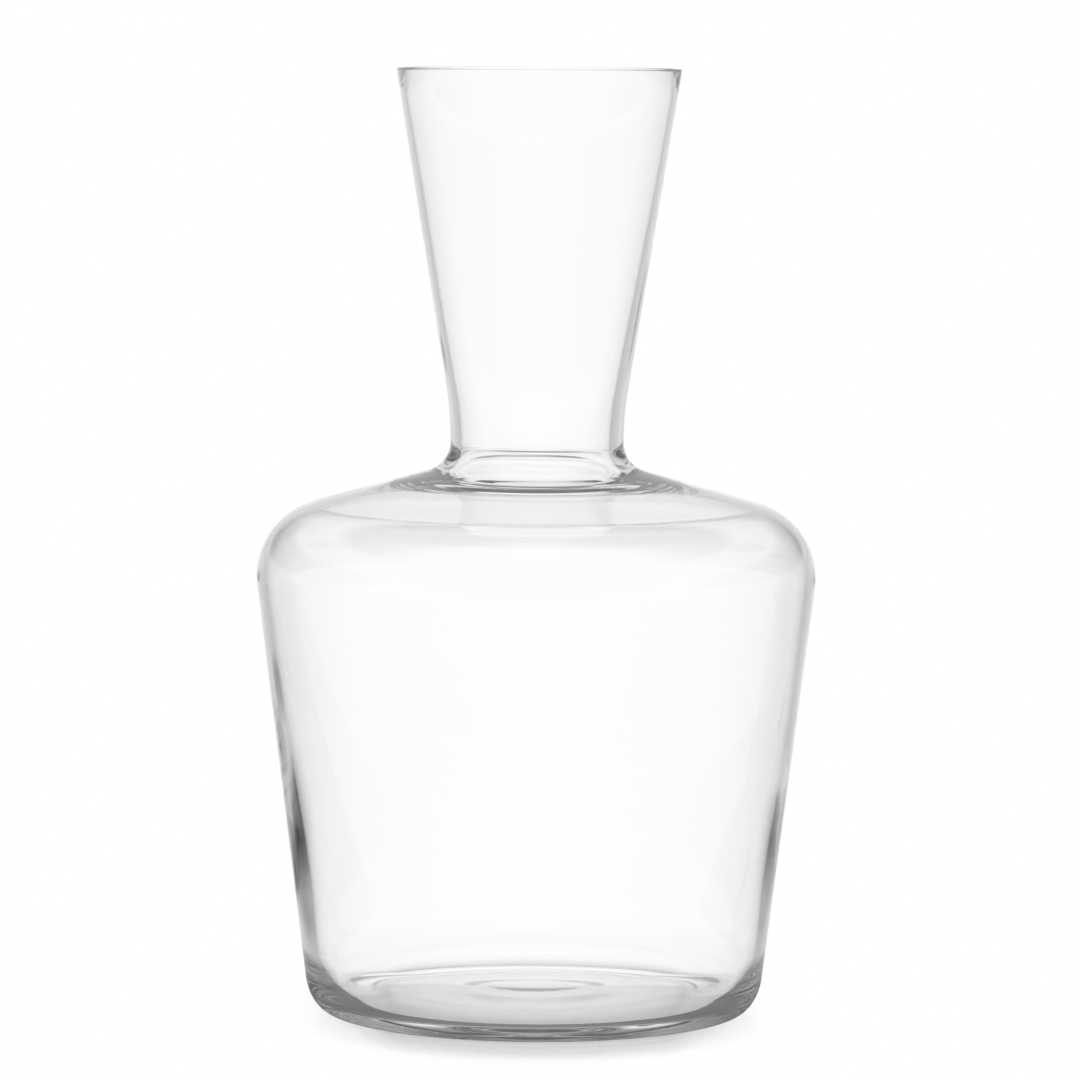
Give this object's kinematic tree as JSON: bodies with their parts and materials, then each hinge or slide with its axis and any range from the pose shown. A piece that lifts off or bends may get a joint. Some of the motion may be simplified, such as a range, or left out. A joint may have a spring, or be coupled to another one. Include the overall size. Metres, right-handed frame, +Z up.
{
  "type": "decanter",
  "caption": "Clear blown-glass decanter: a flared funnel neck on a narrow waist, a sloping shoulder and a tapering body with a round-heeled base, for airing and pouring wine or water.",
  "frame": {"origin": "centre of the standing ring, on the table", "axes": "+Z up along the axis of the glass, from the base towards the mouth; X and Y are free, because the glass is round"},
  "size_m": [0.1422, 0.1422, 0.24],
  "materials": {
    "clear_glass": "polished clear"
  },
  "bodies": {
    "root": {"glass_vessel": "clear_glass"}
  },
  "joints": []
}
